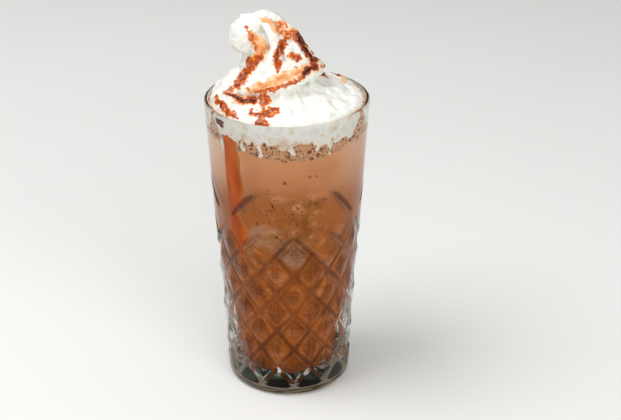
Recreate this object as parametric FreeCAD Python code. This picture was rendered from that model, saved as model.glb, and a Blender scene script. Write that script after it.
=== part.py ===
"""A chocolate milkshake in a cut-pattern tall glass, with piped cream on top.

Millimetres, +Z up. The origin is the centre of the glass's foot, on the surface it stands on;
-Y is the front. Three pieces: the glass, the milkshake that fills its cavity, and the whipped
cream that sits on the milkshake and rises over the rim.
"""
import FreeCAD, Part
import os
from math import cos, pi, radians, sin

Vector = FreeCAD.Vector
AXIS = Vector(0, 0, 1)
CENTRE = Vector(0, 0, 0)

# glass: overall sizes and walls
glass_height = 158.0
rim_radius = 41.6          # outside, at the top
foot_radius = 32.7         # outside, where the taper would meet the table
rim_wall = 2.2
heel_radius = 3.4          # rounding between the foot and the taper
foot_hollow_radius = 19.0  # shallow hollow under the base
foot_hollow_depth = 0.8
base_thickness = 7.5       # solid glass under the drink
floor_radius = 15.0        # inside, where the cavity's taper would meet its floor
floor_rounding = 6.0

# cut pattern: two families of slanting grooves that cross, with a pyramid between them
groove_count = 12          # grooves that lean each way
panel_count = 3            # the pattern's upper edge repeats this many times round the glass
groove_rows = 10           # rows of crossings from the lowest one to the top of the cut band
first_row_height = 7.0
row_pitch = 11.4
groove_width = 3.8
groove_depth = 1.6
pyramid_height = 0.9
groove_end_taper = 0.3     # rows over which a groove runs out
cut_band_sink = 0.15       # the cut band lies this much inside the plain wall
groove_run_out = 2.4       # height over which the lowest crossings run out to the plain heel
pattern_turn = 4.5         # degrees from the front to the middle of one panel

# drink and cream
drink_clearance = 0.15     # between the drink and the cavity's wall
drink_below_rim = 12.0     # the drink's level, measured down from the rim
cream_clearance = 0.3      # between the cream and the cavity's wall
cream_rim_drop = 1.5       # the cream leaves the wall this much below the rim
mound_height = 14.0        # from there to the foot of the swirl
swirl_foot_radius = 22.5
swirl_height = 32.0
swirl_fullness = 0.75      # 1 gives a pointed dome, lower values a blunter one
swirl_lean = 19.0          # the tip leans this far to the left
swirl_turns = 1.7
fold_depth = 6.5           # how deep the fold between two coils of the swirl is
nozzle_ridge = 0.5         # fine ridges along the coil, left by the nozzle
nozzle_ridge_count = 3     # for each coil
cream_columns = 56         # facets round the cream
mound_rows = 7
swirl_rows = 32

sewing_tolerance = 0.0005  # joins the corners of the faceted skins
row_tolerance = 1e-6       # for comparing places on the groove lattice


rim_base_height = glass_height - rim_wall / 2
drink_level = glass_height - drink_below_rim


def outer_radius(height):
    return foot_radius + (rim_radius - foot_radius) * height / glass_height


def cavity_radius(height):
    rise = (height - base_thickness) / (glass_height - base_thickness)
    return floor_radius + (rim_radius - rim_wall - floor_radius) * rise


def revolve(edges):
    return Part.Face(Part.Wire(edges)).revolve(CENTRE, AXIS, 360)


def polyline(points):
    return [Part.makeLine(a, b) for a, b in zip(points, points[1:])]


def rounding_middle(flat_end, steep_end):
    """The middle point of a rounding that starts level and ends upright."""
    across, up = steep_end.x - flat_end.x, steep_end.z - flat_end.z
    return Vector(flat_end.x + across * sin(pi / 4), 0, flat_end.z + up * (1 - cos(pi / 4)))


def faceted_solid(points, facets):
    shape = Part.Shape()
    shape.makeShapeFromMesh((points, facets), sewing_tolerance)
    return Part.Solid(Part.Shell(shape.Faces))


def glass_blank():
    """The plain tapered body before cutting: heel arc, rounded rim, hollow under the foot."""
    heel_side = Vector(outer_radius(heel_radius), 0, heel_radius)
    heel_foot = Vector(heel_side.x - heel_radius, 0, 0)
    rim_outside = Vector(outer_radius(rim_base_height), 0, rim_base_height)
    rim_inside = Vector(cavity_radius(rim_base_height), 0, rim_base_height)
    rim_top = Vector((rim_outside.x + rim_inside.x) / 2, 0, glass_height)
    axis_top = Vector(0, 0, rim_base_height)
    axis_low = Vector(0, 0, foot_hollow_depth)
    hollow_edge = Vector(foot_hollow_radius, 0, 0)
    hollow_middle = Vector(foot_hollow_radius / 2, 0, foot_hollow_depth * 3 / 4)
    edges = [
        Part.Arc(axis_low, hollow_middle, hollow_edge).toShape(),
        Part.makeLine(hollow_edge, heel_foot),
        Part.Arc(heel_foot, rounding_middle(heel_foot, heel_side), heel_side).toShape(),
        Part.makeLine(heel_side, rim_outside),
        Part.Arc(rim_outside, rim_top, rim_inside).toShape(),
        Part.makeLine(rim_inside, axis_top),
        Part.makeLine(axis_top, axis_low),
    ]
    return revolve(edges)


def cavity(top, clearance):
    """The inside of the glass up to a height, drawn in by a clearance."""
    floor_middle = Vector(0, 0, base_thickness + clearance)
    floor_edge = Vector(floor_radius - floor_rounding, 0, floor_middle.z)
    corner_height = base_thickness + floor_rounding
    corner = Vector(cavity_radius(corner_height) - clearance, 0, corner_height)
    wall_top = Vector(cavity_radius(top) - clearance, 0, top)
    axis_top = Vector(0, 0, top)
    edges = polyline([axis_top, floor_middle, floor_edge])
    edges.append(Part.Arc(floor_edge, rounding_middle(floor_edge, corner), corner).toShape())
    edges += polyline([corner, wall_top, axis_top])
    return revolve(edges)


def groove_half_width():
    """Half a groove's width as a share of the distance between neighbouring parallel grooves."""
    across = outer_radius(first_row_height + row_pitch * groove_rows / 2) * pi / groove_count
    spacing = 2 * across * row_pitch / (across ** 2 + row_pitch ** 2) ** 0.5
    return groove_width / 2 / spacing


def groove_strength(line, row):
    """How much of the full depth the groove with this number has at a row, from 0 to 1.

    Each panel has four kinds of groove: one that reaches the panel's peak, one that ends beside
    it, one that stops, leaves a gap and goes on as a lone stroke, and one that ends at a valley.
    """
    peak = groove_rows - 2
    kind = round(line - peak / 2) % (groove_count // panel_count)
    spans = [(-1, peak)]
    if kind == 2:
        spans.append((peak + 0.5, groove_rows))
    if kind == 3:
        spans = [(-1, peak - 1)]
    inside = [min(row - low, high - row) / groove_end_taper for low, high in spans]
    return min(1.0, max(0.0, max(inside)))


def cut_depth(a, b, half_width, enclosed):
    """Depth of the cut at lattice place (a, b): grooves lie along whole values of a and of b."""
    depth = 0.0
    for line in (a, b):
        gap = abs(line - round(line)) / half_width
        depth = max(depth, groove_depth * max(0.0, 1.0 - gap) * groove_strength(line, a + b))
    if enclosed:
        off_centre = max(abs(a % 1 - 0.5), abs(b % 1 - 0.5)) / (0.5 - half_width)
        depth = max(depth, pyramid_height * min(1.0, off_centre))
    return depth


def is_enclosed(a, b):
    """True for a lattice cell, named by its lowest corner, with a full groove on all four sides."""
    low, high = a + b + 0.5, a + b + 1.5
    sides = ((a, low), (b, low), (a + 1, high), (b + 1, high))
    return low > 0 and min(groove_strength(line, row) for line, row in sides) > 0.99


def strip(lower, upper):
    """Triangles between two rings of as many points."""
    count = len(lower)
    facets = []
    for i in range(count):
        j = (i + 1) % count
        facets += [(lower[i], lower[j], upper[j]), (lower[i], upper[j], upper[i])]
    return facets


def cutting_sleeve():
    """A sleeve round the blank whose inner side is the cut pattern."""
    half_width = groove_half_width()
    knots = [0.0, half_width, 0.5, 1 - half_width, 1.0]
    points, facets, index = [], [], {}

    def place(column, height, reach):
        angle = radians(pattern_turn - 90 + 180 / groove_count * column)
        points.append(Vector(reach * cos(angle), reach * sin(angle), height))
        return len(points) - 1

    def lattice_vertex(a, b, enclosed=False):
        turn = 2 * groove_count
        key = (round((a - b) % turn, 6) % turn, round(a + b, 6))
        if key not in index:
            height = first_row_height + row_pitch * (a + b)
            depth = cut_band_sink + cut_depth(a, b, half_width, enclosed)
            index[key] = place(a - b, height, outer_radius(height) - depth)
        return index[key]

    def add_cell(a, b):
        enclosed = is_enclosed(a, b)
        steps = range(len(knots) - 1)
        for i, j in [(i, j) for i in steps for j in steps]:
            corners = [(i, j), (i + 1, j), (i + 1, j + 1), (i, j + 1)]
            if (i < 2) != (j < 2):
                corners = corners[1:] + corners[:1]
            for three in ((corners[0], corners[2], corners[1]), (corners[0], corners[3], corners[2])):
                places = [(a + knots[p], b + knots[q]) for p, q in three]
                rows = [p + q for p, q in places]
                if min(rows) > -row_tolerance and max(rows) < groove_rows + row_tolerance:
                    facets.append(tuple(lattice_vertex(p, q, enclosed) for p, q in places))

    def ring(row):
        columns = [2 * n + 2 * knot for n in range(groove_count) for knot in knots[:-1]]
        return columns, [lattice_vertex((row + column) / 2, (row - column) / 2) for column in columns]

    for row in range(groove_rows + 1):
        for a in range(groove_count):
            add_cell(a, row - 1 - a)
    columns, low_ring = ring(0)
    high_ring = ring(groove_rows)[1]
    low = first_row_height - groove_run_out
    high = first_row_height + row_pitch * groove_rows
    outside = rim_radius + groove_width
    heel_ring = [place(column, low, outer_radius(low) - cut_band_sink) for column in columns]
    outer_low = [place(column, low, outside) for column in columns]
    outer_high = [place(column, high, outside) for column in columns]
    for lower, upper in ((low_ring, heel_ring), (heel_ring, outer_low), (outer_low, outer_high),
                         (outer_high, high_ring)):
        facets.extend(strip(lower, upper))
    return faceted_solid(points, facets)


def glass():
    body = glass_blank().cut(cutting_sleeve())
    return body.cut(cavity(rim_base_height, 0.0))


def milkshake():
    return cavity(drink_level, drink_clearance)


def cream_ring(centre, height, radius_at):
    turns = [2 * pi * i / cream_columns for i in range(cream_columns)]
    return [Vector(centre + radius_at(t) * cos(t), radius_at(t) * sin(t), height) for t in turns]


def whipped_cream():
    """A mound that fills the glass, and on it a coiled swirl whose tip curls to the left."""
    leave = glass_height - cream_rim_drop
    edge = cavity_radius(leave) - cream_clearance
    rings = [cream_ring(0, drink_level, lambda t: cavity_radius(drink_level) - cream_clearance),
             cream_ring(0, leave, lambda t: edge)]
    for row in range(1, mound_rows):
        share = row / mound_rows
        radius = edge + (swirl_foot_radius - edge) * share
        rings.append(cream_ring(0, leave + mound_height * sin(share * pi / 2), lambda t: radius))
    for row in range(swirl_rows):
        share = row / swirl_rows
        full = swirl_foot_radius * cos(share * pi / 2) ** swirl_fullness

        def coil_radius(turn):
            phase = swirl_turns * share - turn / (2 * pi)
            fold = fold_depth * (1 - abs(sin(pi * phase)) ** 0.6)
            ridge = nozzle_ridge * cos(2 * pi * nozzle_ridge_count * phase)
            return full - (fold - ridge) * full / swirl_foot_radius

        height = leave + mound_height + swirl_height * sin(share * pi / 2)
        rings.append(cream_ring(-swirl_lean * share ** 1.4, height, coil_radius))
    points = [point for one_ring in rings for point in one_ring]
    indices = [list(range(i * cream_columns, (i + 1) * cream_columns)) for i in range(len(rings))]
    facets = []
    for lower, upper in zip(indices, indices[1:]):
        facets.extend(strip(lower, upper))
    points += [Vector(0, 0, drink_level), Vector(-swirl_lean, 0, leave + mound_height + swirl_height)]
    foot, tip = len(points) - 2, len(points) - 1
    for i in range(cream_columns):
        j = (i + 1) % cream_columns
        facets += [(foot, indices[0][j], indices[0][i]), (indices[-1][i], indices[-1][j], tip)]
    return faceted_solid(points, facets)


os.makedirs("parts", exist_ok=True)
for name, make in (("glass", glass), ("milkshake", milkshake), ("whipped_cream", whipped_cream)):
    piece = make()
    piece.exportStep("parts/" + name + ".step")
    print(name, piece.isValid(), len(piece.Solids), len(piece.Faces), round(piece.Volume / 1000, 1), "cm3")
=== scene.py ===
from math import cos, exp, hypot, pi, radians, sin

import bmesh
import bpy
import numpy as np
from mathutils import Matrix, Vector, noise
from mathutils.bvhtree import BVHTree


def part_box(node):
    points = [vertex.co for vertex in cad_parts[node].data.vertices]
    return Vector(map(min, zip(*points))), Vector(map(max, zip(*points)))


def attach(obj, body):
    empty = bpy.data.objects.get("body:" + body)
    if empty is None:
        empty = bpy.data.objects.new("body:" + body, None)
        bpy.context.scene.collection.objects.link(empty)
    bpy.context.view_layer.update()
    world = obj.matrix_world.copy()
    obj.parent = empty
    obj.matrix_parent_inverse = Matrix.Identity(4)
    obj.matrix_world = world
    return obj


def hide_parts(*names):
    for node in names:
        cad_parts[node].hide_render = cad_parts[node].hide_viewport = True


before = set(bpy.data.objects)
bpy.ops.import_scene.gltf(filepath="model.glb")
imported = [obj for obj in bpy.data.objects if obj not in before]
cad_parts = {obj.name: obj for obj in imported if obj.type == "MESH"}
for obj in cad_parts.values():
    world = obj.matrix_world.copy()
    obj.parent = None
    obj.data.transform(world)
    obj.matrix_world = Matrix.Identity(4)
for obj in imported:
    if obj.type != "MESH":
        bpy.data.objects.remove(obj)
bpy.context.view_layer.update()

# ---------------------------------------------------------------------------------------------
# Studio: a pale matt table top in a room that is pale overhead and dark near the ground. Of its
# two large soft lights one hangs above to the left and one stands in front to the right.
mm = 0.001
view_from = Vector((0, -604, 395)) * mm
view_down = radians(26.47)
view_right = radians(1.12)

camera_data = bpy.data.cameras.new("studio_camera")
camera_data.sensor_width = 36
camera_data.lens = 74.9
camera = bpy.data.objects.new("studio_camera", camera_data)
bpy.context.scene.collection.objects.link(camera)
camera.location = view_from
camera.rotation_euler = (pi / 2 - view_down, 0, -view_right)
bpy.context.scene.camera = camera
bpy.context.scene.view_settings.view_transform = "Standard"


def new_material(name):
    material = bpy.data.materials.new(name)
    material.use_nodes = True
    nodes = material.node_tree.nodes
    nodes.clear()
    output = nodes.new("ShaderNodeOutputMaterial")
    shader = nodes.new("ShaderNodeBsdfPrincipled")
    material.node_tree.links.new(shader.outputs["BSDF"], output.inputs["Surface"])
    return material, shader


def connect(tree, inputs, links):
    """Sets or links inputs: {name or number: value or output}."""
    for name, value in links.items():
        if isinstance(value, bpy.types.NodeSocket):
            tree.links.new(value, inputs[name])
        else:
            inputs[name].default_value = value


def add_node(tree, kind, links=None, **settings):
    node = tree.nodes.new(kind)
    for name, value in settings.items():
        setattr(node, name, value)
    connect(tree, node.inputs, links or {})
    return node


def ramp(tree, value, stops, kind="LINEAR"):
    """A colour ramp's output, for stops of (position, colour)."""
    node = add_node(tree, "ShaderNodeValToRGB", {"Fac": value})
    node.color_ramp.interpolation = kind
    while len(node.color_ramp.elements) < len(stops):
        node.color_ramp.elements.new(1.0)
    for element, (position, colour) in zip(node.color_ramp.elements, stops):
        element.position = position
        element.color = (*colour, 1)
    return node.outputs["Color"]


def add_mesh(name, points, faces, material, smooth=True):
    mesh = bpy.data.meshes.new(name)
    mesh.from_pydata([tuple(p) for p in points], [], faces)
    mesh.validate()
    mesh.polygons.foreach_set("use_smooth", [smooth] * len(mesh.polygons))
    mesh.materials.append(material)
    piece = bpy.data.objects.new(name, mesh)
    bpy.context.scene.collection.objects.link(piece)
    return piece


def noise_tone(tree, scale, detail, place=None):
    """Soft noise around 0.5, over the given coordinates or else over the whole piece."""
    links = {"Scale": scale, "Detail": detail}
    if place is not None:
        links["Vector"] = place
    return add_node(tree, "ShaderNodeTexNoise", links).outputs["Fac"]


table_half = 3.0
table_material, table_shader = new_material("pale_table")
tree = table_material.node_tree
tone = ramp(tree, noise_tone(tree, 40.0, 6.0), [(0, (0.80, 0.80, 0.785)), (1, (0.83, 0.83, 0.815))])
connect(tree, table_shader.inputs, {"Base Color": tone, "Roughness": 0.6})
corners = [(-table_half, -table_half, 0), (table_half, -table_half, 0),
           (table_half, table_half, 0), (-table_half, table_half, 0)]
table = add_mesh("table_top", corners, [(0, 1, 2, 3)], table_material, smooth=False)

world = bpy.data.worlds.new("studio_world")
bpy.context.scene.world = world
world.use_nodes = True
tree = world.node_tree
tree.nodes.clear()
direction = add_node(tree, "ShaderNodeTexCoord")
split = add_node(tree, "ShaderNodeSeparateXYZ", {"Vector": direction.outputs["Generated"]})
sky = ramp(tree, split.outputs["Z"], [(0.0, (0.50, 0.50, 0.45)), (0.12, (0.07, 0.08, 0.06)),
                                      (0.48, (0.07, 0.08, 0.06)), (0.66, (1.0, 1.0, 1.0))])
background = add_node(tree, "ShaderNodeBackground", {"Color": sky, "Strength": 0.65})
add_node(tree, "ShaderNodeOutputWorld", {"Surface": background.outputs["Background"]})


def soft_light(name, place, aim, size, power):
    data = bpy.data.lights.new(name, "AREA")
    data.shape = "RECTANGLE"
    data.size, data.size_y = size
    data.energy = power
    light = bpy.data.objects.new(name, data)
    bpy.context.scene.collection.objects.link(light)
    light.location = place
    light.rotation_euler = (Vector(aim) - Vector(place)).to_track_quat("-Z", "Y").to_euler()
    return light


soft_light("key_light", (-0.7, -0.15, 1.3), (0, 0, 0.1), (1.0, 1.0), 14)
soft_light("front_light", (0.7, -1.5, 0.8), (0, 0, 0.08), (1.6, 0.8), 21)

# ---------------------------------------------------------------------------------------------
# Glass: a pressed tumbler of clear soda glass with a thick base and wall. The mould leaves two
# families of slanting grooves that cross, with a low pyramid between them; the rim is fire-polished.
glass_low, glass_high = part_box("glass")
glass_height = glass_high[2] - glass_low[2]
rim_radius = 41.6 * mm
foot_radius = 32.7 * mm
rim_wall = 2.2 * mm
heel_radius = 3.4 * mm
hollow_radius = 19 * mm
hollow_depth = 0.8 * mm
foot_press = 0.02 * mm
base_thickness = 7.5 * mm
floor_radius = 15 * mm
floor_rounding = 6 * mm
groove_count = 12
panel_count = 3
groove_rows = 10
first_row_height = 7 * mm
row_pitch = 11.4 * mm
groove_width = 3.8 * mm
groove_depth = 1.1 * mm
pyramid_height = 0.9 * mm
groove_run_out = 2.4 * mm
pattern_turn = 4.5
flank_steps = 2
pyramid_steps = 6


def outer_radius(height):
    return foot_radius + (rim_radius - foot_radius) * height / glass_height


def cavity_radius(height):
    rise = (height - base_thickness) / (glass_height - base_thickness)
    return floor_radius + (rim_radius - rim_wall - floor_radius) * rise


def groove_strength(line, row):
    """How much of its full depth a groove has at a row: each panel has four kinds of groove."""
    peak = groove_rows - 2
    kind = np.round(line - peak / 2) % (groove_count // panel_count)
    whole = np.minimum(row + 1, np.where(kind == 3, peak - 1, peak) - row)
    lone = np.where(kind == 2, np.minimum(row - peak - 0.5, groove_rows - row), -1)
    return np.clip(np.maximum(whole, lone) / 0.3, 0, 1)


def cut_depth(a, b, half_width, enclosed):
    depth = 0.0
    for line in (a, b):
        gap = abs(line - round(line)) / half_width
        depth = max(depth, groove_depth * max(0.0, 1.0 - gap) * groove_strength(line, a + b))
    if enclosed:
        off_centre = max(abs(a % 1 - 0.5), abs(b % 1 - 0.5)) / (0.5 - half_width)
        depth = max(depth, pyramid_height * min(1.0, off_centre))
    return depth


def is_enclosed(a, b):
    low, high = a + b + 0.5, a + b + 1.5
    sides = ((a, low), (b, low), (a + 1, high), (b + 1, high))
    return low > 0 and min(groove_strength(line, row) for line, row in sides) > 0.99


def arc(centre, radius, start, end, steps):
    """(radius, height) pairs along a rounding, without its first point."""
    angles = [start + (end - start) * (i + 1) / steps for i in range(steps)]
    return [(centre[0] + radius[0] * cos(t), centre[1] + radius[1] * sin(t)) for t in angles]


def straight(start, end, steps):
    return [(start[0] + (end[0] - start[0]) * (i + 1) / steps,
             start[1] + (end[1] - start[1]) * (i + 1) / steps) for i in range(steps)]


def cavity_outline(top, reach, floor_steps=4, corner_steps=8, wall_steps=16):
    """From the wall at height top down to the cavity's floor, moved outwards by reach."""
    corner_height = base_thickness + floor_rounding
    corner = (cavity_radius(corner_height) + reach, corner_height)
    flat = floor_radius - floor_rounding
    outline = [(cavity_radius(top) + reach, top)]
    outline += straight(outline[0], corner, wall_steps)
    corner_size = (corner[0] - flat, floor_rounding + reach)
    outline += arc((flat, corner_height), corner_size, 0, -pi / 2, corner_steps)
    outline += straight(outline[-1], (flat / floor_steps, base_thickness - reach), floor_steps)
    return outline


def glass_mesh():
    across = outer_radius(first_row_height + row_pitch * groove_rows / 2) * pi / groove_count
    spacing = 2 * across * row_pitch / (across ** 2 + row_pitch ** 2) ** 0.5
    half_width = groove_width / 2 / spacing
    knots = [half_width * i / flank_steps for i in range(flank_steps)]
    knots += [half_width + (1 - 2 * half_width) * i / pyramid_steps for i in range(pyramid_steps + 1)]
    knots += [1 - half_width * i / flank_steps for i in reversed(range(flank_steps))]
    middle = (len(knots) - 1) / 2
    points, faces, index, cuts, cells = [], [], {}, {}, {}

    def place(column, radius, height):
        angle = radians(pattern_turn - 90 + 180 / groove_count * column)
        points.append((radius * cos(angle), radius * sin(angle), height))
        return len(points) - 1

    def lattice_vertex(a, b, enclosed=False):
        turn = 2 * groove_count
        key = (round((a - b) % turn, 6) % turn, round(a + b, 6))
        if key not in index:
            height = first_row_height + row_pitch * (a + b)
            depth = cut_depth(a, b, half_width, enclosed)
            index[key] = place(a - b, outer_radius(height) - depth, height)
            cuts[index[key]] = cut_depth(a, b, half_width, False) / groove_depth
            cells[index[key]] = float(enclosed)
        return index[key]

    def add_cell(a, b):
        enclosed = is_enclosed(a, b)
        steps = range(len(knots) - 1)
        for i, j in [(i, j) for i in steps for j in steps]:
            corners = [(i, j), (i + 1, j), (i + 1, j + 1), (i, j + 1)]
            if (i < middle) != (j < middle):
                corners = corners[1:] + corners[:1]
            for three in ((corners[0], corners[1], corners[2]), (corners[0], corners[2], corners[3])):
                places = [(a + knots[p], b + knots[q]) for p, q in three]
                rows = [p + q for p, q in places]
                if min(rows) > -1e-6 and max(rows) < groove_rows + 1e-6:
                    faces.append(tuple(lattice_vertex(p, q, enclosed) for p, q in places))

    for row in range(groove_rows + 1):
        for a in range(groove_count):
            add_cell(a, row - 1 - a)
    columns = [2 * n + 2 * knot for n in range(groove_count) for knot in knots[:-1]]
    count = len(columns)

    def ring_on_lattice(row):
        return [lattice_vertex((row + column) / 2, (row - column) / 2) for column in columns]

    def loft(ring, outline):
        """Rings from an existing one along an outline, closed by a point on the axis at its end."""
        for radius, height in outline:
            new = [place(column, radius, height) for column in columns]
            for i in range(count):
                j = (i + 1) % count
                faces.append((ring[i], ring[j], new[j], new[i]))
            ring = new
        centre = place(0, 0, outline[-1][1])
        for i in range(count):
            faces.append((ring[i], ring[(i + 1) % count], centre))

    band_top = first_row_height + row_pitch * groove_rows
    rim_base = glass_height - rim_wall / 2
    half_rim = (outer_radius(rim_base) - cavity_radius(rim_base)) / 2
    rim_middle = cavity_radius(rim_base) + half_rim
    above = straight((outer_radius(band_top), band_top), (outer_radius(rim_base), rim_base), 5)
    above += arc((rim_middle, rim_base), (half_rim, rim_wall / 2), 0, pi, 8)
    above += cavity_outline(rim_base, 0)[1:]
    loft(ring_on_lattice(groove_rows), above)
    heel_top = (outer_radius(heel_radius), heel_radius)
    run_out = first_row_height - groove_run_out
    below = [(outer_radius(run_out), run_out), heel_top]
    below += arc((heel_top[0] - heel_radius, heel_radius), (heel_radius, heel_radius), 0, -pi / 2, 8)
    below = [(radius, max(height, 0) - foot_press if height < 1e-6 else height) for radius, height in below]
    below += straight(below[-1], (hollow_radius, -foot_press), 3)
    below += [(hollow_radius * (1 - i / 5), hollow_depth * (1 - (1 - i / 5) ** 2)) for i in range(1, 5)]
    loft(ring_on_lattice(0), below)
    return points, faces, [[values.get(i, 0.0) for i in range(len(points))] for values in (cuts, cells)]


def set_point_values(piece, name, values):
    attribute = piece.data.attributes.new(name, "FLOAT", "POINT")
    attribute.data.foreach_set("value", np.asarray(values, np.float32))


def point_value(tree, name):
    return add_node(tree, "ShaderNodeAttribute", attribute_name=name).outputs["Fac"]


def maths(tree, operation, *values):
    return add_node(tree, "ShaderNodeMath", dict(enumerate(values)), operation=operation).outputs[0]


def multiply(tree, *values):
    out = values[0]
    for value in values[1:]:
        out = maths(tree, "MULTIPLY", out, value)
    return out


def between(tree, value, low, high):
    """0 below low, 1 above high; low may be above high."""
    node = add_node(tree, "ShaderNodeMapRange", {"Value": value, "From Min": low, "From Max": high},
                    interpolation_type="SMOOTHSTEP")
    return node.outputs[0]


def mix(tree, amount, first, second, kind="MIX"):
    node = add_node(tree, "ShaderNodeMix", data_type="RGBA", blend_type=kind, clamp_factor=True)
    connect(tree, node.inputs, {0: amount, 6: first, 7: second})
    return node.outputs[2]


# The cut glass's colour is darkened by painted shade and painted reflections where it would mirror something
# dark.
# Each pair of heights says where a painted shade starts to come in and where it is full.
facet_painted_shade = (0.56, 0.53, 0.48, 1)
slanting_painted_shade = (0.40, 0.36, 0.32, 1)
heart_painted_shade = (0.30, 0.26, 0.22, 1)
near_foot_painted_shade = (0.56, 0.64, 0.50, 1)
low_cell_painted_shade = (0.004, 0.010, 0.003, 1)
groove_painted_shadow = (0.25, 0.215, 0.18, 1)
stroke_painted_shadow = (0.20, 0.12, 0.06, 1)
foot_below = (5.2 * mm, 4.2 * mm)
near_foot_above = (4.6 * mm, 5.6 * mm)
near_foot_below = (14 * mm, 12.5 * mm)
bands_above = (12 * mm, 20 * mm)
strokes_above = (94 * mm, 104 * mm)

glass_material, glass_shader = new_material("clear_soda_glass")
tree = glass_material.node_tree
place = add_node(tree, "ShaderNodeTexCoord").outputs["Object"]
x, y, height = add_node(tree, "ShaderNodeSeparateXYZ", {"Vector": place}).outputs
cell, cut = point_value(tree, "cell"), point_value(tree, "cut")

# Where a place lies in the lattice: how far inside its cell, and how far from the cell's ridges.
turned = maths(tree, "ARCTAN2", x, maths(tree, "MULTIPLY", y, -1.0))
column = maths(tree, "MULTIPLY_ADD", turned, groove_count / pi, -pattern_turn * groove_count / 180)
row = maths(tree, "MULTIPLY_ADD", height, 1 / row_pitch, -first_row_height / row_pitch)
to_first, to_second = (maths(tree, "PINGPONG", multiply(tree, maths(tree, way, row, column), 0.5), 0.5)
                       for way in ("ADD", "SUBTRACT"))
inside = maths(tree, "MINIMUM", to_first, to_second)
to_ridge = maths(tree, "ABSOLUTE", maths(tree, "SUBTRACT", to_first, to_second))

ripple = noise_tone(tree, 90.0, 1.0)
relief = add_node(tree, "ShaderNodeBump", {"Strength": 0.06, "Distance": 1 * mm, "Height": ripple}).outputs[0]
# The glass's own faint tint; the painted shade and painted reflections below are mixed into it.
tint_and_painted_shade = ramp(tree, ripple, [(0.3, (0.96, 0.985, 0.975)), (0.7, (0.98, 0.995, 0.985))])
# Painted shade, patchy, on the pyramids' facets, leaving their ridges and the grooves clear.
facet_shade = multiply(tree, cell, between(tree, inside, 0.15, 0.19), between(tree, to_ridge, 0.0, 0.05),
                 between(tree, noise_tone(tree, 75.0, 2.0, place), 0.36, 0.54))
tint_and_painted_shade = mix(tree, facet_shade, tint_and_painted_shade, facet_painted_shade)
# Painted shade, darker, on the facets that face one way.
slanting_shade = multiply(tree, facet_shade, between(tree, maths(tree, "SUBTRACT", to_second, to_first), 0.0, 0.04),
                    between(tree, noise_tone(tree, 120.0, 1.0, place), 0.35, 0.6))
tint_and_painted_shade = mix(tree, slanting_shade, tint_and_painted_shade, slanting_painted_shade)
# Painted shade at each pyramid's centre, between its ridges.
heart_shade = multiply(tree, cell, between(tree, inside, 0.28, 0.42), between(tree, to_ridge, 0.0, 0.03))
tint_and_painted_shade = mix(tree, heart_shade, tint_and_painted_shade, heart_painted_shade)
# Painted reflections and shade on the foot ring: dark olive in level streaks, some lighter.
level_reflection_streaks = add_node(tree, "ShaderNodeMapping", {"Vector": place, "Scale": (1, 1, 9)}).outputs[0]
foot_painted_reflection = ramp(tree, noise_tone(tree, 110.0, 2.0, level_reflection_streaks),
             [(0.40, (0.02, 0.019, 0.006)), (0.50, (0.10, 0.09, 0.035)), (0.62, (0.52, 0.51, 0.30))])
tint_and_painted_shade = mix(tree, between(tree, height, *foot_below), tint_and_painted_shade, foot_painted_reflection)
# Painted shade, greenish, on the glass just above the foot.
low = multiply(tree, between(tree, height, *near_foot_below), between(tree, height, *near_foot_above))
tint_and_painted_shade = mix(tree, low, tint_and_painted_shade, near_foot_painted_shade)
# Painted shade: the cells near the foot are near black.
tint_and_painted_shade = mix(tree, multiply(tree, low, between(tree, inside, 0.09, 0.13)), tint_and_painted_shade, low_cell_painted_shade)
# Painted shadow, uneven, along the grooves above the base zone.
uneven = between(tree, noise_tone(tree, 48.0, 1.0, place), 0.40, 0.56)
uneven = maths(tree, "MULTIPLY_ADD", uneven, 0.55, 0.45)
groove_shadow = multiply(tree, between(tree, cut, 0.05, 0.6), between(tree, height, *bands_above), uneven)
tint_and_painted_shade = mix(tree, groove_shadow, tint_and_painted_shade, groove_painted_shadow)
# Painted shadow, dark brown, in the grooves near the top.
stroke_shadow = multiply(tree, between(tree, cut, 0.0, 0.45), between(tree, height, *strokes_above))
tint_and_painted_shade = mix(tree, stroke_shadow, tint_and_painted_shade, stroke_painted_shadow)
connect(tree, glass_shader.inputs, {"Base Color": tint_and_painted_shade, "Transmission Weight": 1.0, "IOR": 1.5,
                                    "Roughness": 0.0, "Normal": relief,
                                    "Specular Tint": (0.1, 0.1, 0.1, 1)})

glass_points, glass_faces, (groove_cut, cell_inside) = glass_mesh()
glass = add_mesh("cut_glass", glass_points, glass_faces, glass_material)
set_point_values(glass, "cut", groove_cut)
set_point_values(glass, "cell", cell_inside)
bm = bmesh.new()
bm.from_mesh(glass.data)
bmesh.ops.recalc_face_normals(bm, faces=bm.faces)
bm.to_mesh(glass.data)
bm.free()
glass.data.set_sharp_from_angle(angle=radians(8))
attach(glass, "root")
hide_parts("glass")

# ---------------------------------------------------------------------------------------------
# Milkshake: a thick chocolate drink that fills the glass to just under the rim and clings to the
# wall above its level. It is paler at the top, has a band of froth, and crushed ice shows in it.
# The grooves of the glass leave soft shadows on it, a little lower than the grooves themselves.
drink_reach = 0.15 * mm
drink_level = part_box("milkshake")[1][2]
shadow_turn = 6.2
shadow_fall = 0.6
shadow_width = 1.9 * mm


def lathe(outline, columns):
    points = [(r * sin(2 * pi * i / columns), -r * cos(2 * pi * i / columns), z)
              for r, z in outline for i in range(columns)]
    faces = []
    for row in range(len(outline) - 1):
        for i in range(columns):
            j = (i + 1) % columns
            a, b = row * columns, (row + 1) * columns
            faces.append((a + i, b + i, b + j, a + j))
    points += [(0, 0, outline[0][1]), (0, 0, outline[-1][1])]
    last = (len(outline) - 1) * columns
    for i in range(columns):
        j = (i + 1) % columns
        faces += [(len(points) - 2, i, j), (len(points) - 1, last + j, last + i)]
    return points, faces


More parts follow.
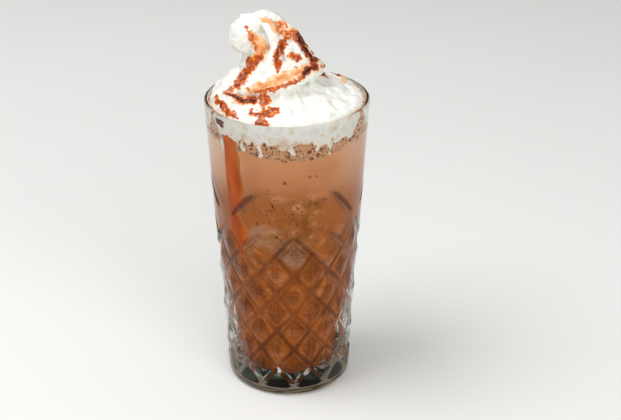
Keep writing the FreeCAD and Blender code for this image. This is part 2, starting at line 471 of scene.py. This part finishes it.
def shadow_lattice(angle, height):
    """0 to 1: how dark the grooves' shadows are at places on the inner wall, angle in degrees."""
    turned = angle - shadow_turn
    across = outer_radius(height) * pi / groove_count
    wall = outer_radius(height) - cavity_radius(height)
    fall = shadow_fall * wall * np.clip(1 - (turned / 32) ** 2, 0, 1)
    a_minus_b = turned / (180 / groove_count)
    a_plus_b = (height + fall - first_row_height) / row_pitch
    spacing = 2 * across * row_pitch / (across ** 2 + row_pitch ** 2) ** 0.5
    light = np.ones_like(angle)
    for line in ((a_plus_b + a_minus_b) / 2, (a_plus_b - a_minus_b) / 2):
        gap = np.abs(line - np.round(line)) * spacing / shadow_width
        light *= 1 - np.exp(-gap ** 4) * groove_strength(line, a_plus_b)
    return 1 - light


def near_route(angle, height, route):
    """Distance in mm from places on the wall to a route of (angle, height in mm) points."""
    best = np.full_like(angle, 1e9)
    turn = radians(1) * cavity_radius(height) / mm
    for (a0, z0), (a1, z1) in zip(route, route[1:]):
        along, up = (a1 - a0) * turn, z1 - z0
        x, y = (angle - a0) * turn, height / mm - z0
        share = np.clip((x * along + y * up) / (along ** 2 + up ** 2), 0, 1)
        best = np.minimum(best, np.hypot(x - share * along, y - share * up))
    return best


def blur_step(value, low, high):
    share = np.clip((value - low) / (high - low), 0, 1)
    return share * share * (3 - 2 * share)


def ripple_at(points, size):
    """Smooth noise, -1 to 1, over distances of size."""
    return np.array([noise.noise(Vector(p)) for p in np.asarray(points) / size])


def vertex_arrays(mesh):
    places, normals = np.empty(len(mesh.vertices) * 3), np.empty(len(mesh.vertices) * 3)
    mesh.vertices.foreach_get("co", places)
    mesh.vertex_normals.foreach_get("vector", normals)
    return places.reshape(-1, 3), normals.reshape(-1, 3)


rim_edge = glass_height - 0.9 * mm
cling = 1 * mm
shaded_below = rim_edge - 1 * mm
drink_outline = [(cavity_radius(z) - cling, z) for z in (drink_level, rim_edge)]
drink_outline += cavity_outline(rim_edge, drink_reach, corner_steps=24, wall_steps=220)
drink_material, drink_shader = new_material("chocolate_drink")
drink = add_mesh("milkshake_body", *lathe(drink_outline, 340), drink_material)

froth_foot = 138.8 * mm
froth_rise = 4.5 * mm
froth_spread = 50
pale_patches = [((-31, 97), (-12, 97)), ((-25, 92), (-8, 93)), ((0, 89), (9, 87)), ((2, 83), (8, 81))]
places, _ = vertex_arrays(drink.data)
angle = np.degrees(np.arctan2(places[:, 0], -places[:, 1]))
z = places[:, 2]
wobble = ripple_at(places, 6 * mm) * 2.5 * mm
shade = shadow_lattice(angle, z) * (z < shaded_below)
froth_low = froth_foot + froth_rise * np.minimum((angle / froth_spread) ** 2, 1)
froth = blur_step(z + wobble * 0.8 - froth_low, -0.6 * mm, 0.8 * mm)
slush = blur_step(z + wobble, 82 * mm, 90 * mm) * blur_step(-z - wobble, -124 * mm, -116 * mm)
slush *= blur_step(-np.abs(angle - 1 + wobble / mm * 6), -34, -20)
pale = np.min([near_route(angle, z, route) for route in pale_patches], axis=0)
pale = blur_step(wobble / mm * 1.6 - pale, -6.0, -0.5)
draw = np.random.default_rng(7)
lone_bubbles = zip(draw.uniform(-28, 30, 14), draw.uniform(94, 130, 14), draw.uniform(0.4, 0.95, 14))
turn = radians(1) * cavity_radius(z) / mm
bubble = np.min([np.hypot((angle - a) * turn, z / mm - h) / size for a, h, size in lone_bubbles], axis=0)
set_point_values(drink, "lone_bubble", blur_step(-bubble, -1.3, -0.6))
set_point_values(drink, "groove_shade", shade)
set_point_values(drink, "froth", froth)
set_point_values(drink, "slush", slush)
set_point_values(drink, "pale_ice", pale)
# Painted light: the drink's upper sides are paler, more so on the left.
painted_side_light = blur_step(z, 108 * mm, 145 * mm) * blur_step(np.abs(angle) + wobble / mm * 2, 28, 62)
painted_side_light *= 0.75 - 0.25 * np.sin(np.radians(angle))
set_point_values(drink, "painted_side_light", painted_side_light)

shadow_strength = 0.35
ice_strength = 0.85
painted_side_light_colour = (0.98, 0.70, 0.50, 1)
dark_patch = (0.33, 0.12, 0.02, 1)
pale_patch = (0.90, 0.38, 0.15, 1)

tree = drink_material.node_tree
place = add_node(tree, "ShaderNodeTexCoord").outputs["Object"]
height = add_node(tree, "ShaderNodeSeparateXYZ", {"Vector": place}).outputs["Z"]
clouds = noise_tone(tree, 45.0, 4.0, place)
specks = noise_tone(tree, 900.0, 2.0, place)
blotches = noise_tone(tree, 150.0, 4.0, place)
share = add_node(tree, "ShaderNodeMapRange", {"Value": maths(tree, "MULTIPLY_ADD", clouds, 30 * mm, height),
                                              "From Min": 15 * mm, "From Max": 175 * mm}).outputs[0]
body = ramp(tree, share, [(0.0, (0.65, 0.172, 0.033)), (0.40, (0.65, 0.180, 0.034)),
                          (0.55, (0.53, 0.152, 0.028)), (0.68, (0.54, 0.170, 0.040)),
                          (0.85, (0.78, 0.36, 0.170)), (1.0, (0.86, 0.46, 0.26))])
low_part = between(tree, height, 105 * mm, 85 * mm)
body = mix(tree, multiply(tree, low_part, between(tree, blotches, 0.5, 0.66), 0.55), body, dark_patch)
body = mix(tree, multiply(tree, low_part, between(tree, blotches, 0.47, 0.33), 0.45), body, pale_patch)
colour = mix(tree, point_value(tree, "painted_side_light"), body, painted_side_light_colour)
pale_colour = ramp(tree, specks, [(0.3, (0.50, 0.24, 0.12)), (0.7, (0.66, 0.38, 0.23))])
colour = mix(tree, multiply(tree, point_value(tree, "pale_ice"), ice_strength), colour, pale_colour)
shade_colour = ramp(tree, share, [(0.0, (0.10, 0.022, 0.005)), (0.6, (0.15, 0.04, 0.011)),
                                  (1.0, (0.20, 0.08, 0.03))])
colour = mix(tree, multiply(tree, point_value(tree, "groove_shade"), shadow_strength), colour, shade_colour)
grit = ramp(tree, blotches, [(0.38, (0.24, 0.075, 0.012)), (0.52, (0.46, 0.17, 0.045)),
                             (0.64, (0.80, 0.40, 0.18))])
slush_mask = point_value(tree, "slush")
colour = mix(tree, multiply(tree, slush_mask, between(tree, clouds, 0.35, 0.6), 0.75), colour, grit)


def bubbles(tree, scale, kept, size):
    """Round dark bubbles, few or many: (1 inside one, 1 on its pale skin)."""
    cells = add_node(tree, "ShaderNodeTexVoronoi", {"Vector": place, "Scale": scale, "Randomness": 0.9})
    chosen = add_node(tree, "ShaderNodeSeparateColor", {"Color": cells.outputs["Color"]}).outputs["Red"]
    chosen = between(tree, chosen, kept + 0.02, kept - 0.02)
    distance = cells.outputs["Distance"]
    hole = multiply(tree, chosen, between(tree, distance, size + 0.06, size - 0.06))
    skin = multiply(tree, chosen, between(tree, distance, size - 0.05, size + 0.05),
                    between(tree, distance, size + 0.25, size + 0.1))
    return hole, skin


for scale, kept, size, mask in ((430, 0.10, 0.30, slush_mask), (800, 0.22, 0.36, slush_mask)):
    hole, skin = bubbles(tree, scale, kept, size)
    colour = mix(tree, multiply(tree, skin, mask, 0.4), colour, (0.62, 0.32, 0.17, 1))
    colour = mix(tree, multiply(tree, hole, mask, 0.85), colour, (0.06, 0.014, 0.004, 1))
colour = mix(tree, multiply(tree, point_value(tree, "lone_bubble"), 0.85), colour, (0.12, 0.03, 0.006, 1))
froth_mask = point_value(tree, "froth")
lace = ramp(tree, specks, [(0.3, (0.46, 0.19, 0.07)), (0.7, (0.78, 0.45, 0.26))])
colour = mix(tree, multiply(tree, froth_mask, 0.7), colour, lace)
for scale, kept, size in ((330, 0.8, 0.40), (700, 0.55, 0.38)):
    hole, skin = bubbles(tree, scale, kept, size)
    colour = mix(tree, multiply(tree, skin, froth_mask, 0.7), colour, (0.78, 0.52, 0.34, 1))
    colour = mix(tree, multiply(tree, hole, froth_mask, 0.85), colour, (0.20, 0.055, 0.010, 1))
connect(tree, drink_shader.inputs, {"Base Color": colour, "Roughness": 0.5, "Specular IOR Level": 0.0})
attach(drink, "root")
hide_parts("milkshake")

# ---------------------------------------------------------------------------------------------
# Syrup streak: chocolate syrup that ran down the inside of the glass before it was filled. It is
# a thin amber film between wall and drink, with a sharp left edge and a thinner right one.
streak_left = [(-51, 152), (-60, 92), (-55, 72)]
streak_right = [(-43, 152), (-38, 121), (-46, 104), (-40, 95), (-52, 72)]


def wall_film(name, low, high, start, end, step, edge_gap, thickness, material):
    """A film on the inside of the wall, where edge_gap(angle, height) is over 0 mm inside its edge."""
    rows = round((high - low) / step) + 1
    columns = round(radians(end - start) * cavity_radius(high) / step) + 1
    z, angle = np.meshgrid(np.linspace(low, high, rows), np.linspace(start, end, columns), indexing="ij")
    z, angle = z.ravel(), angle.ravel()
    gap = np.clip(edge_gap(angle, z), -1, 1)
    reach = cavity_radius(z) + drink_reach + gap * thickness
    turn = np.radians(angle)
    points = np.stack([reach * np.sin(turn), -reach * np.cos(turn), z], axis=1)
    first = (np.arange(rows - 1)[:, None] * columns + np.arange(columns - 1)).ravel()
    faces = np.stack([first, first + 1, first + columns + 1, first + columns], axis=1)
    faces = faces[gap[faces].max(axis=1) > 0]
    piece = add_mesh(name, points, faces.tolist(), material)
    set_point_values(piece, "depth", np.clip(gap, 0, 1))
    return piece


def streak_gap(angle, z):
    left = np.interp(-z, [-h * mm for _, h in streak_left], [a for a, _ in streak_left])
    right = np.interp(-z, [-h * mm for _, h in streak_right], [a for a, _ in streak_right])
    wobble = ripple_at(np.stack([angle / 8, z / (9 * mm), angle * 0 + 3], axis=1), 1)
    inside = np.minimum(angle - left + wobble * 0.6, (right + 2 - angle + wobble * 2.5) / 4)
    return np.minimum(inside * 0.7, np.minimum((151.5 * mm - z) / mm, (z - 72 * mm) / (8 * mm)))


def new_group(name, inputs, outputs):
    """An empty node group with sockets of the given types: (group, its inputs inside)."""
    group = bpy.data.node_groups.new(name, "ShaderNodeTree")
    for way, sockets in (("INPUT", inputs), ("OUTPUT", outputs)):
        for label, kind in sockets.items():
            group.interface.new_socket(label, in_out=way, socket_type="NodeSocket" + kind)
    return group, add_node(group, "NodeGroupInput").outputs


def use_group(tree, group, links):
    node = add_node(tree, "ShaderNodeGroup", node_tree=group)
    connect(tree, node.inputs, links)
    return node.outputs


# A film's colour goes from that of its thin edge to that of its full depth.
thinning, given = new_group("film_thinning", {"Depth": "Float", "Thin Until": "Float", "Thick From": "Float",
                                              "Thin": "Color", "Thick": "Color"}, {"Colour": "Color"})
depth_share = between(thinning, given["Depth"], given["Thin Until"], given["Thick From"])
add_node(thinning, "NodeGroupOutput", {"Colour": mix(thinning, depth_share, given["Thin"], given["Thick"])})

streak_material, streak_shader = new_material("syrup_film")
tree = streak_material.node_tree
place = add_node(tree, "ShaderNodeTexCoord").outputs["Object"]
flow = add_node(tree, "ShaderNodeMapping", {"Vector": place, "Scale": (1, 1, 0.15)}).outputs[0]
flow = noise_tone(tree, 160.0, 3.0, flow)
thick = ramp(tree, flow, [(0.3, (0.52, 0.065, 0.0)), (0.7, (0.88, 0.18, 0.0))])
thin = ramp(tree, flow, [(0.3, (0.62, 0.17, 0.02)), (0.7, (0.72, 0.25, 0.05))])
colour = use_group(tree, thinning, {"Depth": point_value(tree, "depth"), "Thin Until": 0.1, "Thick From": 1.0,
                                    "Thin": thin, "Thick": thick})["Colour"]
connect(tree, streak_shader.inputs, {"Base Color": colour, "Roughness": 0.3, "Specular IOR Level": 0.0})
streak = wall_film("syrup_streak", 70 * mm, 152 * mm, -64, -34, 0.5 * mm, streak_gap, 0.05 * mm,
                   streak_material)
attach(streak, "root")

# ---------------------------------------------------------------------------------------------
# Whipped cream: piped from a star nozzle. A heaped round mound fills the mouth of the glass, one
# thick turn lies on it, and above that the ridges are drawn up to a tip that flops to the left.
cream_grain = 0.55 * mm
mound_edge = 155.5 * mm
mound_radius = cavity_radius(mound_edge) - 0.1 * mm
mound_floor = drink_level - 2 * mm
floor_edge = cavity_radius(mound_floor) - 1 * mm

# Each rope of cream follows points (x, y, height, thickness across), in mm.
cream_ropes = [
    [(-8, 1, 158, 36), (-6, 1, 172, 28), (-6, 1, 182, 20), (-9, 1, 192, 13), (-13, 0, 197, 9)],
    [(-22, -8, 163.5, 7), (-19, -12, 166.5, 9.5), (-11, -15, 169, 11), (-3, -15.5, 171, 11),
     (6, -12, 173.5, 10), (12.5, -5, 173.5, 9), (13.5, 5, 172, 10), (6, 14, 172, 12),
     (-6, 17, 172, 12), (-16, 12, 173, 12),
     (-19, 3, 174.5, 10), (-17, -5, 176, 8), (-11, -10, 176, 7), (-3, -11, 176.5, 6.5), (4, -9.5, 177.5, 6)],
    [(-13, 2, 199.5, 5), (-7, 2, 197.3, 7), (-1.5, 2, 192.5, 8), (2.8, 2, 187, 9), (6, 2, 181, 10),
     (9, 2, 174.5, 11)],
    [(5, -4, 189.5, 4), (4.8, -6, 185.5, 4.5), (6, -7, 182, 4.5), (9, -6.5, 179, 4.5), (11, -5, 177, 5)],
    [(-3, -5, 190.5, 5), (0.5, -8, 186, 5.5), (0.8, -9.5, 181, 5), (2, -10, 177, 5.5)],
    [(-9.5, -5, 198, 6), (-6.5, -7.5, 193, 6), (-6, -9, 188, 4.5), (-7, -10, 183, 4.5), (-9, -11, 178.5, 5),
     (-13, -11.5, 174.8, 5.5), (-17, -11, 172, 5.5)],
    [(-13.5, -5, 189, 8), (-13.5, -8, 183, 8), (-15, -8.5, 177, 8), (-17, -8, 171, 9)],
    [(-18.5, -1, 189, 8), (-18, -2, 182, 8), (-17.5, -3, 176, 8), (-19, -4, 170, 9)],
    [(-10, 6, 194, 10), (-7, 9, 187, 12), (-5, 11, 178, 14)],
    [(-2, 7, 190, 10), (2, 9, 183, 12), (5, 10, 174, 14)],
    [(-13, -1, 198.5, 7), (-17, -2, 196.5, 10), (-20.3, -3, 193.5, 13), (-21, -3.5, 190.5, 13),
     (-20.5, -3.5, 187, 11)],
    [(-20, -2, 198, 6), (-22.2, -1.5, 201, 1.6)],
    [(-14, -2, 198, 7), (-15, -1.5, 202, 1.6)],
    [(-11, 0, 198, 7), (-9.5, 1, 200.5, 3)],
    [(-22, -4, 188, 9), (-23.2, -4, 183.5, 3)],
    [(-27, 4, 160, 16), (-24.5, 4, 165, 12), (-21, 4, 169, 9)],
    [(-34, 8, 157.5, 8), (-31, 8, 161.5, 7), (-28, 8, 165.5, 6)],
    [(-24.5, -3, 194.5, 6), (-25.2, -3, 190.5, 7), (-24.4, -3.5, 185.5, 6)],
    [(-22.5, -9, 165, 7), (-27, -12, 161, 6), (-30, -16, 157.5, 5)],
]


def smooth_path(points, steps):
    """Points along a soft curve through the given ones, ends included."""
    p = np.array([points[0], *points, points[-1]], float)
    t = np.linspace(0, 1, steps, endpoint=False)[:, None]
    parts = [0.5 * (2 * b + (c - a) * t + (2 * a - 5 * b + 4 * c - d) * t ** 2
                    + (3 * b - a - 3 * c + d) * t ** 3)
             for a, b, c, d in zip(p, p[1:], p[2:], p[3:])]
    return np.concatenate([*parts, p[-1:]])


def mound_top(x, y):
    r = hypot(x, y)
    shoulder = 155.5 + 6 * max(0, 1 - (max(0, r - 29 * mm) / (mound_radius - 29 * mm)) ** 2) ** 0.5
    rise = 0.42 * max(0, 29 - r / mm)
    left = 4.0 * exp(-((x / mm + 27) / 8) ** 2 - ((y / mm - 4) / 14) ** 2)
    folds = noise.noise(Vector((x * 1.6, y * 0.8 + x * 0.8, 0)) / (9 * mm)) * 2.0
    folds *= blur_step(-r, -mound_radius, -30 * mm)
    return (shoulder + rise + left + folds) * mm


bm = bmesh.new()
rings, turns = 40, 120
top = []
for i in range(1, rings + 1):
    reach = mound_radius * i / rings
    spots = [(reach * cos(2 * pi * j / turns), reach * sin(2 * pi * j / turns)) for j in range(turns)]
    top.append([bm.verts.new((x, y, mound_top(x, y))) for x, y in spots])
top.append([bm.verts.new((v.co.x * floor_edge / mound_radius, v.co.y * floor_edge / mound_radius,
                          mound_floor)) for v in top[-1]])
for near, far in zip(top, top[1:]):
    for j in range(turns):
        bm.faces.new((near[j - 1], far[j - 1], far[j], near[j]))
for ring in (top[0], list(reversed(top[-1]))):
    bm.faces.new(ring)
rough = bpy.data.meshes.new("cream_rough")
bm.to_mesh(rough)
bm.free()
bm = bmesh.new()
bmesh.ops.create_icosphere(bm, subdivisions=3, radius=0.5)
ball = np.array([v.co for v in bm.verts])
ball_faces = np.array([[v.index for v in face.verts] for face in bm.faces])
bm.free()
beads = np.concatenate([smooth_path(rope, 7) for rope in cream_ropes]) * mm
bead_points = (beads[:, None, :3] + ball * beads[:, None, 3:]).reshape(-1, 3)
bead_faces = (np.arange(len(beads))[:, None, None] * len(ball) + ball_faces).reshape(-1, 3)
cream_material, cream_shader = new_material("whipped_cream")
mound_points = [tuple(v.co) for v in rough.vertices]
all_faces = [tuple(face.vertices) for face in rough.polygons] + (bead_faces + len(mound_points)).tolist()
cream = add_mesh("cream_swirl", mound_points + bead_points.tolist(), all_faces, cream_material)
merge = cream.modifiers.new("merge", "REMESH")
merge.mode, merge.voxel_size = "VOXEL", cream_grain
soften = cream.modifiers.new("soften", "SMOOTH")
soften.factor, soften.iterations = 0.5, 5
merged = bpy.data.meshes.new_from_object(cream.evaluated_get(bpy.context.evaluated_depsgraph_get()))
cream.modifiers.clear()
cream.data = merged
merged.materials.clear()
merged.materials.append(cream_material)
merged.polygons.foreach_set("use_smooth", [True] * len(merged.polygons))


places, normals = vertex_arrays(merged)
wrinkle = ripple_at(places, 6 * mm) * 1.0 + ripple_at(places, 2.4 * mm) * 0.4
free = np.clip((mound_radius - 0.5 * mm - np.hypot(places[:, 0], places[:, 1])) / (2 * mm), 0, 1)
places += normals * (wrinkle * free * mm)[:, None]
merged.vertices.foreach_set("co", places.ravel())
merged.update()
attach(cream, "root")
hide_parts("whipped_cream")

# ---------------------------------------------------------------------------------------------
# Chocolate sauce: poured over the swirl after piping. It lies thickest in the creases, runs down
# the front of the mound, and stains the cream tan where it is thin. Two runs went down the back.
sauce_depth = 0.8 * mm
sauce_sink = 0.15 * mm
halo_width = 1.9
halo_strength = 0.9
swelling = 1.2
back_point = Vector((0, 604, 395)) * mm

# Each run is a route of (sideways, height) points, its half width, all in mm, and its depth from 0
# to 1. Routes lie on the upright plane through the glass's axis, and are carried onto the cream
# along straight lines from a point in front of it, or behind it for the back runs.
sauce_runs = [
    ([(-19, 194), (-16, 187), (-15, 183)], 1.1, 0.42),
    ([(-11, 180), (-17, 175), (-22, 167), (-28, 161)], 2.1, 0.60),
    ([(-3, 194), (3, 190), (5, 187)], 2.2, 0.42),
    ([(0, 189), (-4, 180), (-5, 171)], 2.0, 0.66),
    ([(5, 191), (9, 183), (14, 175), (8, 170)], 1.9, 0.95),
    ([(2, 180), (8, 177)], 1.4, 0.6),
    ([(4, 174), (5, 173)], 1.3, 0.5),
    ([(12, 172), (5, 167), (-5, 163), (-15, 160)], 1.2, 0.62),
    ([(-20, 163), (-17, 158)], 1.4, 0.38),
    ([(-11, 160), (-12, 151)], 2.0, 0.60),
    ([(-18, 148), (-9, 149), (-5, 151)], 1.9, 0.62),
    ([(-14, 144), (-12, 143)], 1.8, 0.75),
    ([(-35, 157), (-31, 151), (-26, 147)], 1.5, 0.6),
    ([(-34, 146), (-31, 143)], 1.6, 1.0),
    ([(-30, 160), (-23, 156), (-16, 156)], 1.1, 1.0),
    ([(18, 174), (19, 173)], 0.8, 0.5),
    ([(24, 172), (29, 168), (33, 167)], 0.6, 1.0),
]
sauce_stains = [
    ([(-11, 198), (-1, 192), (6, 187)], 3.0, 1.0),
    ([(-17, 190), (-12, 182), (-20, 171)], 3.0, 1.0),
    ([(10, 173), (-5, 167), (-19, 160)], 2.8, 1.0),
]
back_runs = [
    ([(-6, 197), (3, 184), (10, 170), (18, 161)], 2.0, 0.95),
    ([(-16, 182), (-10, 171), (-15, 160)], 1.8, 0.9),
]


def run_path(points, width, most):
    """(sideways, height, half width, depth) along a run that thins out towards both ends."""
    path = smooth_path(points, 6)
    swell = np.sin(np.linspace(0.12, 0.88, len(path)) * pi)
    lumps = 1 + 0.35 * np.sin(path[:, 0] * 1.1 + path[:, 1] * 0.9)
    return np.column_stack([path, width * lumps * (0.45 + 0.6 * swell), most * (0.8 + 0.2 * swell)])


def deepest(side, height, runs):
    """How deep sauce lies at each place, 0 to 1, in the deepest of the runs."""
    depth = np.zeros(len(side))
    for run in runs:
        for a, b in zip(run, run[1:]):
            along = b[:2] - a[:2]
            share = ((side - a[0]) * along[0] + (height - a[1]) * along[1]) / max(along @ along, 1e-9)
            share = np.clip(share, 0, 1)
            width, most = a[2] + share * (b[2] - a[2]), a[3] + share * (b[3] - a[3])
            gap = np.hypot(side - a[0] - share * along[0], height - a[1] - share * along[1])
            gap /= np.maximum(width, 0.1)
            depth = np.maximum(depth, most * np.sqrt(np.clip(1 - gap ** 2, 0, 1)))
    return depth


def seen_from(eye, places, normals, tree_of_faces):
    """Where each place falls on the upright plane as seen from eye, and whether it is in sight."""
    share = (eye[1] / (eye[1] - places[:, 1]))[:, None]
    on_plane = eye + share * (places - eye)
    towards = eye - places
    towards /= np.linalg.norm(towards, axis=1)[:, None]
    facing = np.clip(np.sum(towards * normals, axis=1) / 0.15, 0, 1)
    for i in np.nonzero(facing)[0]:
        start = Vector(places[i] + normals[i] * 0.3 * mm + towards[i] * 2.5 * mm)
        if tree_of_faces.ray_cast(start, Vector(towards[i]), 80 * mm)[0]:
            facing[i] = 0
    return on_plane[:, 0] / mm, on_plane[:, 2] / mm, facing


places, normals = vertex_arrays(merged)
faces_of_cream = [tuple(face.vertices) for face in merged.polygons]
hits = BVHTree.FromPolygons([tuple(p) for p in places], faces_of_cream)
sideways, upwards = (ripple_at(moved, 1.6 * mm) * 0.9 + ripple_at(moved, 5 * mm) * 1.9
                     for moved in (places, places + 70 * mm))
lace = ripple_at(places, 1.3 * mm) + ripple_at(places, 3.5 * mm) * 0.7
depth, stain = np.zeros(len(places)), np.zeros(len(places))
for eye, runs, stains in ((view_from, sauce_runs, sauce_stains), (back_point, back_runs, [])):
    side, height, facing = seen_from(np.array(eye), places, normals, hits)
    side, height = side + sideways, height + upwards
    run = deepest(side, height, [run_path(route, width * swelling, most) for route, width, most in runs])
    depth = np.maximum(depth, np.clip(run - np.clip(lace, 0, 1) * (0.9 - run), 0, 1) * facing)
    edges = [run_path(route, width * swelling + halo_width, most) for route, width, most in runs]
    halo = halo_strength * deepest(side, height, edges) ** 2
    thin = np.maximum(deepest(side, height, [run_path(*patch) for patch in stains]), halo)
    stain = np.maximum(stain, thin * facing)
set_point_values(cream, "stain", stain)

# A mask made uneven by noise, so that its edge is ragged.
ragged, given = new_group("ragged_mask", {"Mask": "Float", "Scale": "Float", "Detail": "Float",
                                          "Amount": "Float"}, {"Mask": "Float", "Noise": "Float"})
ragged_place = add_node(ragged, "ShaderNodeTexCoord").outputs["Object"]
ragged_noise = noise_tone(ragged, given["Scale"], given["Detail"], ragged_place)
shifted = multiply(ragged, maths(ragged, "SUBTRACT", ragged_noise, 0.5), given["Amount"])
add_node(ragged, "NodeGroupOutput", {"Mask": maths(ragged, "ADD", given["Mask"], shifted),
                                     "Noise": ragged_noise})

tree = cream_material.node_tree
place = add_node(tree, "ShaderNodeTexCoord").outputs["Object"]
patchy, curd = use_group(tree, ragged, {"Mask": point_value(tree, "stain"), "Scale": 260.0, "Detail": 5.0,
                                        "Amount": 1.6})
foam = noise_tone(tree, 1500.0, 2.0, place)
# Painted shade in the cream's hollows: the white is greyer where the curd bump is low.
white = ramp(tree, curd, [(0.32, (0.70, 0.69, 0.62)), (0.5, (0.82, 0.815, 0.76)),
                          (0.68, (0.86, 0.855, 0.82))])
tan = ramp(tree, curd, [(0.38, (0.66, 0.22, 0.055)), (0.5, (0.78, 0.38, 0.15)), (0.62, (0.84, 0.60, 0.40))])
colour = mix(tree, between(tree, patchy, 0.15, 0.8), white, tan)
relief = add_node(tree, "ShaderNodeBump", {"Strength": 0.6, "Distance": 0.8 * mm, "Height": curd}).outputs[0]
relief = add_node(tree, "ShaderNodeBump", {"Strength": 0.2, "Distance": 0.2 * mm, "Height": foam,
                                           "Normal": relief}).outputs[0]
connect(tree, cream_shader.inputs, {"Base Color": colour, "Roughness": 0.5, "Specular IOR Level": 0.3,
                                    "Normal": relief, "Subsurface Weight": 0.12, "Subsurface Scale": 3 * mm})

kept = [face for face in faces_of_cream if max(depth[k] for k in face) > 0]
used = sorted({k for face in kept for k in face})
number = {k: i for i, k in enumerate(used)}
lifted = places + normals * (depth ** 0.8 * sauce_depth - sauce_sink)[:, None]
sauce_material, sauce_shader = new_material("chocolate_sauce")
sauce_faces = [tuple(number[k] for k in face) for face in kept]
sauce = add_mesh("chocolate_sauce", lifted[used], sauce_faces, sauce_material)
set_point_values(sauce, "depth", depth[used])
tree = sauce_material.node_tree
look = use_group(tree, ragged, {"Mask": point_value(tree, "depth"), "Scale": 420.0, "Detail": 3.0,
                                "Amount": 1.5})["Mask"]
colour = ramp(tree, look, [(0.0, (0.84, 0.42, 0.19)), (0.22, (0.72, 0.21, 0.04)),
                           (0.45, (0.50, 0.085, 0.008)), (0.7, (0.26, 0.032, 0.004)),
                           (1.0, (0.045, 0.009, 0.003))])
connect(tree, sauce_shader.inputs, {"Base Color": colour, "Roughness": 0.12, "Specular IOR Level": 0.5})
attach(sauce, "root")

# ---------------------------------------------------------------------------------------------
# Cream on the wall: the mound presses a thin layer of cream against the glass, in front of the
# drink. Its lower edge is ragged, with drips where it slid down, and it stops short at both sides.
film_level = 147.0 * mm
film_ragged = 2.0
side_rise = 10 * mm
side_turn = 64
drip_length = 6
drip_places = [(-55, 138), (-34, 143), (-20, 141), (3, 144), (22, 142), (32, 141)]
drip_width = 1.1


def cream_gap(angle, z):
    turn, radius = np.radians(angle), cavity_radius(z)
    places = np.stack([radius * np.sin(turn), -radius * np.cos(turn), z], axis=1)
    wobble = ripple_at(places, 1.55 * mm) * 0.9 + ripple_at(places, 3.8 * mm) * film_ragged
    edge = film_level + side_rise * np.exp(-((np.abs(angle) - side_turn) / 6) ** 2)
    above = np.clip((z - edge) / mm * 0.6, -9, 3)
    drips = [drip_width - near_route(angle, z, [(a, low + drip_length), (a, low)]) for a, low in drip_places]
    return np.maximum(above, np.max(drips, axis=0)) + wobble


film_material, film_shader = new_material("cream_film")
tree = film_material.node_tree
place = add_node(tree, "ShaderNodeTexCoord").outputs["Object"]
curd = noise_tone(tree, 200.0, 4.0, place)
white = ramp(tree, curd, [(0.33, (0.82, 0.66, 0.50)), (0.45, (0.95, 0.93, 0.86)), (0.55, (0.99, 0.975, 0.93)),
                          (0.68, (0.90, 0.88, 0.84))])
thin = ramp(tree, curd, [(0.3, (0.80, 0.52, 0.34)), (0.7, (0.88, 0.70, 0.54))])
colour = use_group(tree, thinning, {"Depth": point_value(tree, "depth"), "Thin Until": 0.0, "Thick From": 0.5,
                                    "Thin": thin, "Thick": white})["Colour"]
connect(tree, film_shader.inputs, {"Base Color": colour, "Roughness": 0.5, "Specular IOR Level": 0.1})
film = wall_film("cream_film", 137 * mm, rim_edge, -180, 180, 0.4 * mm, cream_gap, 0.12 * mm, film_material)
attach(film, "root")
